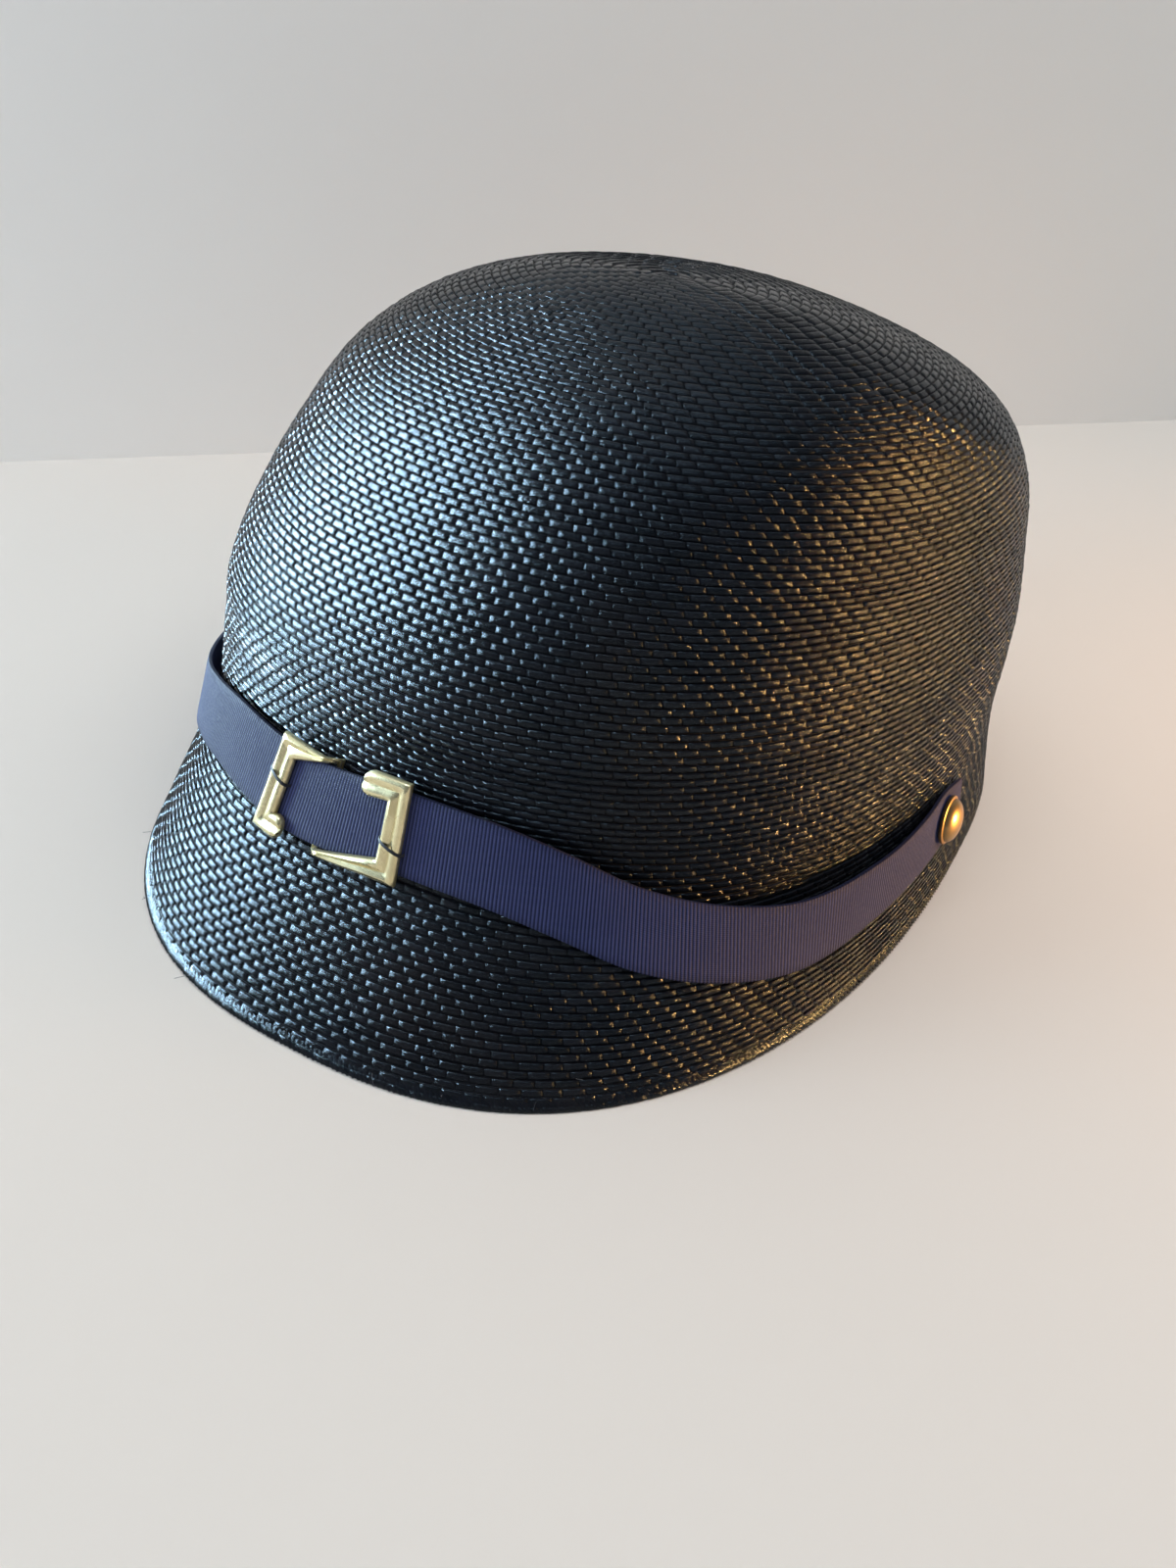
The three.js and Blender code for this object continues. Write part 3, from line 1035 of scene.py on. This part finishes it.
class StrawBody:
    """The straw shell, its braid, its rim edge and its loose fibres."""

    # The wrapped rim in millimetres: out from the straw's face and up along it
    RIM_PROFILE = (
        (-0.3, 3.1),
        (0.02, 2.4),
        (0.16, 1.6),
        (0.2, 0.8),
        (0.0, 0.3),
        (-0.6, 0.15),
        (-1.5, 0.15),
        (-2.2, 0.5),
        (-2.3, 1.6),
    )
    # How far apart the wrapped straws lie, how wide each is and how far it slants
    WRAP_PITCH = 1.2 * MM
    WRAP_WIDTH = 1.25 * MM
    WRAP_SLANT = 3.4 * MM
    # How far the braid's shell lies behind the straws' face, and above the table
    SHELL_BEHIND = 0.35 * MM
    SHELL_CLEAR = 0.2 * MM
    # The loose fibres' number and radius
    FIBRES = 26
    FIBRE_RADIUS = 0.06 * MM

    def __init__(self, straw: StrawSurface, finishes: Finishes) -> None:
        """Keeps what the straw is built from.

        Args:
            straw: the outer face of the straw.
            finishes: the materials.
        """
        self.straw = straw
        self.finishes = finishes
        self.braid = Braid(straw, BraidLook())
        self.random = np.random.default_rng(19)

    def shell(self) -> bpy.types.Object:
        """Builds the closed shell behind the braid.

        Returns:
            The piece.
        """
        columns = 120
        levels = np.concatenate((np.linspace(0, 0.9, 52), np.linspace(0.915, 0.996, 9)))
        along, bearing = np.meshgrid(levels, np.arange(columns) * 360 / columns, indexing="ij")
        points = self.straw.point(along, bearing)
        up, outward = self.straw.axes(along, bearing)
        outer = points - outward * self.SHELL_BEHIND
        inner = points - outward * HAT.wall
        inner[0] -= up[0] * (inner[0][:, 2:] / up[0][:, 2:])
        outer[0, :, 2] = self.SHELL_CLEAR
        inner[0, :, 2] = self.SHELL_CLEAR
        rings = np.concatenate((inner[::-1], outer))
        count = len(rings)
        faces = tube_faces(count, columns)
        piece = mesh_object("straw_shell", rings.reshape(-1, 3), faces)
        rows = np.interp(levels[::-1], self.braid.grid[::-1], self.braid.turns[::-1])
        both = np.concatenate((rows, rows[::-1]))
        uv = np.stack(np.broadcast_arrays(np.arange(columns)[None, :] / columns, both[:, None]), -1)
        map_points(piece, uv.reshape(-1, 2))
        shade(piece, Shading.BY_ANGLE, 50)
        return piece

    def rim_edge(self) -> bpy.types.Object:
        """Builds the slanting straws that wrap the rim's edge.

        Returns:
            The piece.
        """
        bearings = np.arange(0, 360.01, 0.5)
        line = self.straw.point(np.zeros_like(bearings), bearings)
        climbed = np.concatenate(([0], np.cumsum(np.linalg.norm(np.diff(line, axis=0), axis=1))))
        count = round(climbed[-1] / self.WRAP_PITCH)
        starts = np.interp((np.arange(count) + 0.5) / count * climbed[-1], climbed, bearings)
        profile = np.array(self.RIM_PROFILE)
        shares = np.linspace(0, 1, len(profile))
        across = np.array((-0.5, 0.0, 0.5))
        degree = 360 / climbed[-1]
        slant = self.WRAP_SLANT * degree
        spread = self.WRAP_WIDTH * degree
        jitter = self.random.uniform(-0.12, 0.12, (count, 1, 1)) * spread
        bearing = starts[:, None, None] + jitter + (shares[None, :, None] - 0.5) * slant
        bearing = bearing + across[None, None, :] * spread
        crown = np.array((-0.34, 0.16, -0.34))[None, None, :] * self.random.uniform(0.7, 1.3, (count, 1, 1))
        base = self.straw.point(np.zeros_like(bearing), bearing)
        up, outward = self.straw.axes(np.zeros_like(bearing), bearing)
        tangent = np.gradient(profile, axis=0)
        normal = unit(np.stack((-tangent[:, 1], tangent[:, 0]), -1))
        offset = (profile[None, :, None, :] + crown[..., None] * normal[None, :, None, :]) * MM
        flat = unit(outward * np.array((1, 1, 0)))
        points = base + flat * offset[..., :1] + up * offset[..., 1:]
        points[..., 2] = np.maximum(points[..., 2], 0.05 * MM)
        rows, cells = len(profile), len(across)
        corners = ((0, 0), (1, 0), (1, 1), (0, 1))
        one = [
            [(r + down) * cells + c + over for down, over in corners]
            for r in range(rows - 1)
            for c in range(cells - 1)
        ]
        faces = np.array(one)[None] + (np.arange(count) * rows * cells)[:, None, None]
        piece = mesh_object("rim_edge", points.reshape(-1, 3), faces.reshape(-1, 4).tolist())
        point_values(piece, "tone", np.repeat(self.random.uniform(0.2, 0.9, count), rows * cells))
        lengthwise = shares[None, :, None] * 5 + starts[:, None, None]
        uv = np.stack(np.broadcast_arrays(lengthwise, across[None, None, :] * 2), -1)
        map_points(piece, uv.reshape(-1, 2))
        shade(piece, Shading.SMOOTH)
        return piece

    def loose_fibres(self) -> bpy.types.Object:
        """Builds a few short fibres that stand off the rim.

        Returns:
            The piece, every fibre a thin three-sided strand.
        """
        strands = []
        for _ in range(self.FIBRES):
            bearing = self.random.uniform(-60, 80)
            along = abs(self.random.normal(0, 0.01))
            start = self.straw.point(np.array(along), np.array(bearing))
            _, outward = self.straw.axes(np.array(along), np.array(bearing))
            ahead = unit(outward + self.random.normal(0, 0.5, 3))
            curl = unit(self.random.normal(0, 1, 3))
            reach = self.random.uniform(1.2, 3.2) * MM
            steps = np.linspace(0, 1, 5)[:, None]
            path = start + ahead * reach * steps + curl * reach * 0.4 * steps**2
            path[:, 2] = np.maximum(path[:, 2], 0.25 * MM)
            strands.append(thread("strand", path, self.FIBRE_RADIUS, 3))
        return join(strands, "loose_fibres")

    def build(self) -> list:
        """Builds and dresses the straw.

        Returns:
            The pieces.
        """
        shell = self.shell()
        starts, ends = self.braid.spiral()
        shares = (0, 0.25, 0.5, 0.75, 1)
        pieces = [shell]
        for part, name in enumerate(("braid_tip", "braid_top", "braid_crown", "braid_peak")):
            low, high = (round(len(starts) * share) for share in shares[part : part + 2])
            some = slice(low, high)
            pieces.append(self.braid.straws(name, starts[some], starts[some], ends[some], 1))
        starts, ends = self.braid.last_row()
        middles = np.full(len(starts), self.braid.rows - 0.52)
        pieces.append(self.braid.straws("braid_rim", middles, starts, ends, 0))
        pieces.append(self.rim_edge())
        for piece in pieces:
            piece.data.materials.append(self.finishes.lining if piece is shell else self.finishes.straw)
            dress(piece, NodeName.STRAW)
        fibres = self.loose_fibres()
        fibres.data.materials.append(self.finishes.sewing)
        dress(fibres)
        return pieces + [fibres]


# The trimmings


class RibbonStrap:
    """The ribbed ribbon round the front of the crown."""

    # How far a rib stands out past the ribbon's edge and off its face
    RIB_PAST = 0.12 * MM
    RIB_RISE = 0.16 * MM
    # The face between the ribs: a share of the solid's thickness, and its rounding
    FACE_SHARE = 0.72
    FACE_ROUND = 0.1 * MM
    # Half the breadth in millimetres that the weave's pattern is laid over
    PATTERN_HALF = 8.25

    def __init__(self, path: StrapPath, finishes: Finishes) -> None:
        """Keeps the ribbon's path.

        Args:
            path: where the strap runs.
            finishes: the materials.
        """
        self.path = path
        self.finishes = finishes

    def build(self) -> list:
        """Builds the ribbon with its ribs.

        Returns:
            The pieces.
        """
        coarse = np.linspace(self.path.start, self.path.end, 373)
        middle, up, outward, half = self.path.section(coarse)
        climbed = np.concatenate(([0], np.cumsum(np.linalg.norm(np.diff(middle, axis=0), axis=1))))
        length = climbed[-1]
        ribs = round(length / STRAP.rib)
        stations = np.linspace(0, length, ribs * 4 + 1)
        at = [
            np.stack([np.interp(stations, climbed, column[:, k]) for k in range(3)], 1)
            for column in (middle, up, outward)
        ]
        middle, up, outward = at[0], unit(at[1]), unit(at[2])
        half = np.interp(stations, climbed, half)
        wave = 0.5 + 0.5 * np.cos(stations / length * ribs * math.tau)
        across = np.array((-1, -0.97, -0.75, -0.4, 0, 0.4, 0.75, 0.97, 1))
        ridge = np.array((0, 0.6, 1, 1, 1, 1, 1, 0.6, 0))
        back = np.array((1, 0, -1))
        reach = half[:, None] + self.RIB_PAST * wave[:, None]
        front = middle[:, None] + up[:, None] * (reach * across[None])[..., None]
        rise = self.RIB_RISE * wave[:, None] + self.FACE_ROUND
        depth = STRAP.thick * self.FACE_SHARE + ridge[None] * rise
        front = front + outward[:, None] * depth[..., None]
        behind = middle[:, None] + up[:, None] * (half[:, None] * back[None])[..., None]
        rings = np.concatenate((front, behind), 1)
        count = rings.shape[1]
        faces = [face[::-1] for face in tube_faces(len(rings), count)]
        piece = mesh_object("ribbon", rings.reshape(-1, 3), faces)
        # crest is how high each point stands on a rib; the cloth's finish paints shade where it is low, and
        # on the back face.
        crest = np.concatenate((wave[:, None] * ridge[None], np.zeros((len(rings), 3))), 1)
        point_values(piece, "crest", crest.ravel())
        place = np.concatenate((across, back)) * self.PATTERN_HALF
        uv = np.stack(np.broadcast_arrays(stations[:, None] * 1000, place[None, :]), -1)
        map_points(piece, uv.reshape(-1, 2))
        shade(piece, Shading.BY_ANGLE, 75)
        piece.data.materials.append(self.finishes.ribbon)
        dress(piece, NodeName.STRAP)
        return [piece]


@dataclass(frozen=True)
class Station:
    """One place on the buckle's middle line."""

    x: float
    y: float
    half: float
    behind: float = 0


class Buckle:
    """The cast buckle: one bar bent to an open S, with two beads along it."""

    # The bar's section: across, as a share of its half width, and out, as a share of its thickness
    SECTION = (
        (-1.0, 0.0),
        (-1.0, 0.5),
        (-0.82, 0.86),
        (-0.5, 0.98),
        (-0.22, 0.72),
        (0.0, 0.6),
        (0.2, 0.78),
        (0.52, 1.04),
        (0.84, 0.88),
        (1.0, 0.5),
        (1.0, 0.0),
    )
    # A bar of the first half width has the first share of the thickness, and so on
    THIN_HALVES = (0.8 * MM, 2.2 * MM)
    THIN_SHARES = (0.75, 1.0)
    # How far apart the sections lie along the bar
    STEP = 1.1 * MM
    # How far up or down the side bars the stitches lie, their thread's radius and its spacing
    LEFT_STITCH = 1.5 * MM
    RIGHT_STITCH = 3.2 * MM
    STITCH_RADIUS = 0.2 * MM
    STITCH_PITCH = 0.34 * MM

    def __init__(self, path: StrapPath, finishes: Finishes) -> None:
        """Keeps what the buckle lies on.

        Args:
            path: where the strap runs.
            finishes: the materials.
        """
        self.path = path
        self.finishes = finishes
        middle = path.section(np.array([BUCKLE.bearing]))[0][0]
        self.reach = float(np.linalg.norm((middle - path.straw.shift)[:2]))

    def stations(self) -> list:
        """Lists the middle line from one free end to the other.

        Returns:
            The stations.
        """
        side = BUCKLE.width / 2 - BUCKLE.side_bar / 2
        arm = BUCKLE.height / 2 - BUCKLE.corner / 2
        clear = float(self.path.section(np.array([BUCKLE.bearing]))[3][0]) + GAP + BUCKLE.tip / 2
        half = (BUCKLE.side_bar + BUCKLE.corner) / 4
        corner, tip = BUCKLE.corner / 2, BUCKLE.tip / 2
        edge = BUCKLE.width / 2
        centre = BUCKLE.centre_bar - edge
        low, high = BUCKLE.low_stub - edge, edge - BUCKLE.high_stub
        round_end = ((0.0, 0.35), (0.12, 0.7), (0.35, 0.9), (0.7, 1.0))
        first = [Station(low - corner * step, -arm, corner * wide) for step, wide in round_end]
        last = [Station(high + corner * step, arm, corner * wide) for step, wide in reversed(round_end)]
        return first + [
            Station(-side, -arm, half),
            Station(-side, arm, half),
            Station(centre - BUCKLE.crossing, clear, tip),
            Station(centre, clear, tip, 1),
            Station(centre, -clear, tip, 1),
            Station(centre + BUCKLE.crossing, -clear, tip),
            Station(side, -arm, half),
            Station(side, arm, half),
        ] + last

    @staticmethod
    def mitres(line: np.ndarray) -> np.ndarray:
        """Gives the direction across the bar at each station, longer at a corner.

        Args:
            line: rows of x, y.

        Returns:
            A direction for each station.
        """
        strides = np.diff(line, axis=0)
        strides = strides / np.linalg.norm(strides, axis=1, keepdims=True)
        before = np.concatenate((strides[:1], strides))
        after = np.concatenate((strides, strides[-1:]))
        across = np.stack((-before[:, 1] - after[:, 1], before[:, 0] + after[:, 0]), 1)
        across = across / np.linalg.norm(across, axis=1, keepdims=True)
        square = np.stack((-after[:, 1], after[:, 0]), 1)
        return across / (across * square).sum(1, keepdims=True)

    def build(self) -> list:
        """Builds the buckle.

        Returns:
            The pieces.
        """
        stations = self.stations()
        line = np.array([(s.x, s.y) for s in stations])
        rest = np.array([(s.half, s.behind) for s in stations])
        columns = np.concatenate((line, self.mitres(line), rest), 1)
        dense = [columns[:1]]
        for a, b in zip(columns[:-1], columns[1:]):
            pieces = max(1, math.ceil(np.linalg.norm(b[:2] - a[:2]) / self.STEP))
            dense.append(a + (b - a) * np.linspace(0, 1, pieces + 1)[1:, None])
        dense = np.concatenate(dense)
        front, behind = STRAP.thick + GAP, -GAP - BUCKLE.bar_thick
        low = front + (behind - front) * dense[:, 5]
        thin = np.interp(dense[:, 4], self.THIN_HALVES, self.THIN_SHARES)
        thick = (BUCKLE.thick + (BUCKLE.bar_thick - BUCKLE.thick) * dense[:, 5]) * thin
        section = np.array(self.SECTION)
        flat = dense[:, None, 0:2] + section[None, :, :1] * dense[:, None, 2:4] * dense[:, None, 4:5]
        deep = low[:, None] + section[None, :, 1] * thick[:, None]
        bearing = BUCKLE.bearing + np.degrees(flat[..., 0] / self.reach)
        points = self.path.place(bearing.ravel(), flat[..., 1].ravel(), deep.ravel())
        faces = [face[::-1] for face in tube_faces(len(dense), len(section))]
        piece = mesh_object("brass_buckle", points, faces)
        crest = np.broadcast_to(np.clip(section[None, :, 1], 0, 1), deep.shape)
        point_values(piece, "crest", crest.ravel())
        shade(piece, Shading.BY_ANGLE, 46)
        piece.data.materials.append(self.finishes.pale_brass)
        dress(piece, NodeName.BUCKLE)
        left = self.stitch("stitch_left", -1, self.LEFT_STITCH)
        right = self.stitch("stitch_right", 1, self.RIGHT_STITCH)
        return [piece, left, right]

    def stitch(self, name: str, side: int, height: float) -> bpy.types.Object:
        """Builds the thread loop that sews a side bar down.

        Args:
            name: the piece's name.
            side: -1 for the left bar and 1 for the right bar.
            height: how far up the bar it lies.

        Returns:
            The piece.
        """
        middle = side * (BUCKLE.width / 2 - BUCKLE.side_bar / 2)
        half = BUCKLE.side_bar / 2 + 0.4 * MM
        top = STRAP.thick + GAP + BUCKLE.thick
        turns = np.linspace(math.pi, 0, 15)
        x = middle + half * 1.12 * np.cos(turns)
        y = -side * height + 1.2 * MM * np.cos(turns) * -1
        d = STRAP.thick * 0.8 + (top + 0.15 * MM - STRAP.thick * 0.8) * np.sin(turns) ** 0.55
        strands = []
        for shift in (0.0, self.STITCH_PITCH):
            bearing = BUCKLE.bearing + np.degrees(x / self.reach)
            path = self.path.place(bearing, y + shift, d)
            strands.append(thread(name, path, self.STITCH_RADIUS))
        piece = join(strands, name)
        piece.data.materials.append(self.finishes.sewing)
        dress(piece)
        return piece


class Button:
    """A domed brass button sewn on at the ribbon's end."""

    # The foot's profile, as shares of the radius and of the height
    FOOT = ((0, 0), (0.86, 0.0), (0.97, 0.04), (1.0, 0.16), (0.985, 0.25), (0.93, 0.29), (0.88, 0.3))
    # The thread tails' number and radius
    TAILS = 4
    TAIL_RADIUS = 0.17 * MM

    def __init__(
        self, name: str, bearing: float, node: NodeName, path: StrapPath, finishes: Finishes
    ) -> None:
        """Keeps the button's place.

        Args:
            name: the piece's name.
            bearing: degrees round the hat.
            node: the solid that it stands for.
            path: where the strap runs.
            finishes: the materials.
        """
        self.name = name
        self.bearing = bearing
        self.node = node
        self.path = path
        self.finishes = finishes

    def dome(self) -> bpy.types.Object:
        """Spins the button's profile round its axis.

        Returns:
            The button, its flat back on the XY plane.
        """
        radius = BUTTON.diameter / 2
        width, foot = self.FOOT[-1]
        angles = np.linspace(0, 1, 10)[1:] * math.pi / 2
        profile = list(self.FOOT)
        profile += [(width * math.cos(a), foot + (1 - foot) * math.sin(a)) for a in angles]
        points = [(radius * r, 0, BUTTON.height * h) for r, h in profile]
        edges = tuple((i, i + 1) for i in range(len(points) - 1))
        made = mesh_object(self.name, np.array(points), [], edges)
        select_only(made)
        bpy.ops.object.mode_set(mode="EDIT")
        bpy.ops.mesh.select_all(action="SELECT")
        bpy.ops.mesh.spin(steps=40, angle=math.tau, center=(0, 0, 0), axis=(0, 0, 1))
        bpy.ops.mesh.select_all(action="SELECT")
        bpy.ops.mesh.remove_doubles(threshold=0.00001)
        bpy.ops.mesh.normals_make_consistent(inside=False)
        bpy.ops.object.mode_set(mode="OBJECT")
        return made

    def build(self) -> list:
        """Builds the button and its thread tails.

        Returns:
            The pieces.
        """
        made = self.dome()
        bearing = np.array([self.bearing])
        _, up, outward, _ = self.path.section(bearing)
        seat = self.path.place(bearing, np.zeros(1), np.full(1, STRAP.thick + GAP))[0]
        turn = Vector((0, 0, 1)).rotation_difference(Vector(outward[0])).to_matrix().to_4x4()
        made.data.transform(Matrix.Translation(Vector(seat)) @ turn)
        points = np.array([v.co[:] for v in made.data.vertices])
        rise = (points - seat) @ outward[0] / BUTTON.height
        point_values(made, "crest", np.clip(rise * 1.1 - 0.1, 0, 1))
        shade(made, Shading.BY_ANGLE, 50)
        made.data.materials.append(self.finishes.dark_brass)
        dress(made, self.node)
        return [made, self.tails(seat, up[0], outward[0])]

    def tails(self, seat: np.ndarray, up: np.ndarray, outward: np.ndarray) -> bpy.types.Object:
        """Builds the thread ends that stick out below the button.

        Args:
            seat: the middle of the button's back.
            up: the direction up the strap.
            outward: the direction away from the straw.

        Returns:
            The piece.
        """
        random = np.random.default_rng(int(abs(self.bearing)) + (self.bearing < 0))
        back = np.cross(outward, up) * (-1 if self.bearing > 0 else 1)
        strands = []
        for _ in range(self.TAILS):
            start = seat - outward * 0.2 * MM + back * 4.6 * MM - up * random.uniform(0.5, 3) * MM
            ahead = unit(back + outward * random.uniform(0, 0.7) - up * random.uniform(-0.5, 0.8))
            curl = unit(random.normal(0, 1, 3))
            steps = np.linspace(0, 1, 7)[:, None]
            reach = random.uniform(2.6, 4.2) * MM
            path = start + ahead * reach * steps + curl * reach * 0.28 * steps**2
            strands.append(thread("tail", path, self.TAIL_RADIUS, 5))
        piece = join(strands, self.name + "_thread")
        piece.data.materials.append(self.finishes.sewing)
        dress(piece)
        return piece


def dress(piece: bpy.types.Object, node: NodeName | None = None) -> None:
    """Ties a piece to the frame.

    Args:
        piece: the object.
        node: the solid that it stands for, if any.
    """
    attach(piece, "root")
    if node is not None:
        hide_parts(node.value)


# The camera, the stand and its light


@dataclass(frozen=True)
class View:
    """The camera of the photograph."""

    place: tuple = (0.17357, -0.21207, 0.18649)
    yaw: float = 38.65
    pitch: float = 35.36
    roll: float = 3.68
    lens: float = 27.0

    def build(self) -> bpy.types.Object:
        """Makes the scene's camera.

        Returns:
            The camera.
        """
        yaw, pitch, roll = (math.radians(a) for a in (self.yaw, self.pitch, self.roll))
        ahead = Vector((-math.sin(yaw) * math.cos(pitch), math.cos(yaw) * math.cos(pitch), -math.sin(pitch)))
        right = Vector((math.cos(yaw), math.sin(yaw), 0))
        above = right.cross(ahead)
        rolled_right = right * math.cos(roll) + above * math.sin(roll)
        rolled_above = above * math.cos(roll) - right * math.sin(roll)
        data = bpy.data.cameras.new("camera")
        data.lens = self.lens
        data.sensor_width = 36
        data.clip_start = 0.01
        camera = bpy.data.objects.new("camera", data)
        bpy.context.scene.collection.objects.link(camera)
        turn = Matrix((rolled_right, rolled_above, -ahead)).transposed().to_4x4()
        camera.matrix_world = Matrix.Translation(Vector(self.place)) @ turn
        bpy.context.scene.camera = camera
        return camera


@dataclass(frozen=True)
class LampLook:
    """A lamp; its steps and its aim go right, ahead and up from the hat's middle."""

    name: str
    steps: tuple
    size: tuple
    power: float
    colour: tuple
    gloss_only: bool
    aim: tuple = (0, 0, 0.06)
    spread: float = 180


class Stand:
    """The pale table, the wall behind it and the light."""

    # Two points where the wall meets the table
    WALL_FOOT = ((-0.293, 0.026), (-0.004, 0.44))
    WALL_SIZE = (5, 3)
    WALL_MIDDLE = 1.4
    TABLE_SIZE = (6, 6)
    TABLE_DROP = -0.0002
    ROOM_COLOUR = (0.78, 0.88, 1.0, 1)
    ROOM_STRENGTH = 0.2
    LAMPS = (
        LampLook("window_glint", (-0.41, 0.035, 0.11), (0.18, 0.1), 12, (0.56, 0.8, 1.0), True),
        LampLook("high_glint", (-0.28, -0.12, 0.85), (0.3, 0.16), 2.2, (0.68, 0.85, 1.0), True),
        LampLook("window_light", (-0.98, -0.2, 0.25), (0.7, 0.5), 8, (0.76, 0.88, 1.0), False),
        LampLook(
            "warm_glint", (0.95, -0.2, 0.04), (0.06, 0.04), 34, (1.0, 0.52, 0.17), True, (0, 0, 0.05)
        ),
        LampLook(
            "warm_light", (0.5, -0.05, 0.28), (0.2, 0.1), 0.2, (1.0, 0.5, 0.2), False, (0.22, 0, 0), 90
        ),
        LampLook(
            "ceiling_light", (0.29675, -0.10927, 1.7), (2.2, 2.2), 26, (1.0, 0.985, 0.95), False, (0, 0, 0)
        ),
    )

    def __init__(self, finishes: Finishes, view: View) -> None:
        """Keeps the materials and the view.

        Args:
            finishes: the materials.
            view: the photograph's camera.
        """
        self.finishes = finishes
        self.view = view

    def panel(
        self, name: str, size: tuple, place: tuple, turn: tuple, material: bpy.types.Material
    ) -> bpy.types.Object:
        """Makes a flat panel of the stand.

        Args:
            name: its name.
            size: width and length.
            place: its middle.
            turn: its turn in degrees about x, y and z.
            material: its finish.

        Returns:
            The panel.
        """
        angles = tuple(math.radians(a) for a in turn)
        bpy.ops.mesh.primitive_plane_add(size=1, location=place, rotation=angles)
        made = bpy.context.active_object
        made.name = name
        made.scale = (size[0], size[1], 1)
        bpy.ops.object.transform_apply(location=False, rotation=False, scale=True)
        made.data.materials.append(material)
        return made

    def lamp(self, look: LampLook, right: Vector, ahead: Vector) -> bpy.types.Object:
        """Makes an area lamp that shows only in gloss or only lights surfaces.

        Args:
            look: what it is like and where it stands.
            right: the level direction to the camera's right.
            ahead: the level direction that the camera faces.

        Returns:
            The lamp.
        """
        place = right * look.steps[0] + ahead * look.steps[1] + Vector((0, 0, look.steps[2]))
        aim = right * look.aim[0] + ahead * look.aim[1] + Vector((0, 0, look.aim[2]))
        data = bpy.data.lights.new(look.name, "AREA")
        data.shape = "RECTANGLE"
        data.size, data.size_y = look.size
        data.energy = look.power
        data.color = look.colour
        data.spread = math.radians(look.spread)
        made = bpy.data.objects.new(look.name, data)
        bpy.context.scene.collection.objects.link(made)
        made.location = place
        made.rotation_euler = (aim - place).to_track_quat("-Z", "Y").to_euler()
        made.visible_diffuse = not look.gloss_only
        made.visible_glossy = look.gloss_only
        return made

    def build(self) -> None:
        """Makes the table, the wall, the lamps and the room's even light."""
        left_foot, right_foot = (Vector((x, y, 0)) for x, y in self.WALL_FOOT)
        wall_turn = math.degrees(math.atan2(right_foot.y - left_foot.y, right_foot.x - left_foot.x))
        foot = (left_foot + right_foot) / 2
        table, wall = self.finishes.table, self.finishes.wall
        self.panel("table", self.TABLE_SIZE, (0, 0, self.TABLE_DROP), (0, 0, 0), table)
        self.panel("wall", self.WALL_SIZE, (foot.x, foot.y, self.WALL_MIDDLE), (90, 0, wall_turn), wall)
        yaw = math.radians(self.view.yaw)
        ahead = Vector((-math.sin(yaw), math.cos(yaw), 0))
        right = Vector((math.cos(yaw), math.sin(yaw), 0))
        for look in self.LAMPS:
            self.lamp(look, right, ahead)
        world = bpy.data.worlds.new("room")
        world.use_nodes = True
        background = world.node_tree.nodes["Background"]
        background.inputs[0].default_value = self.ROOM_COLOUR
        background.inputs[1].default_value = self.ROOM_STRENGTH
        bpy.context.scene.view_settings.view_transform = "Standard"
        bpy.context.scene.world = world


def main() -> None:
    """Builds the hat in order and ties every piece to the frame."""
    logging.basicConfig(level=logging.INFO, format="%(message)s")
    view = View()
    view.build()
    finishes = Finishes()
    straw = StrawSurface(*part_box(NodeName.STRAW.value))
    path = StrapPath(straw)
    Stand(finishes, view).build()
    parts = (
        StrawBody(straw, finishes),
        RibbonStrap(path, finishes),
        Buckle(path, finishes),
        Button("brass_button_left", BUTTON.bearing, NodeName.BUTTON_LEFT, path, finishes),
        Button("brass_button_right", -BUTTON.bearing, NodeName.BUTTON_RIGHT, path, finishes),
    )
    for part in parts:
        for piece in part.build():
            log.info("%s: %d faces", piece.name, len(piece.data.polygons))


if __name__ == "__main__":
    main()
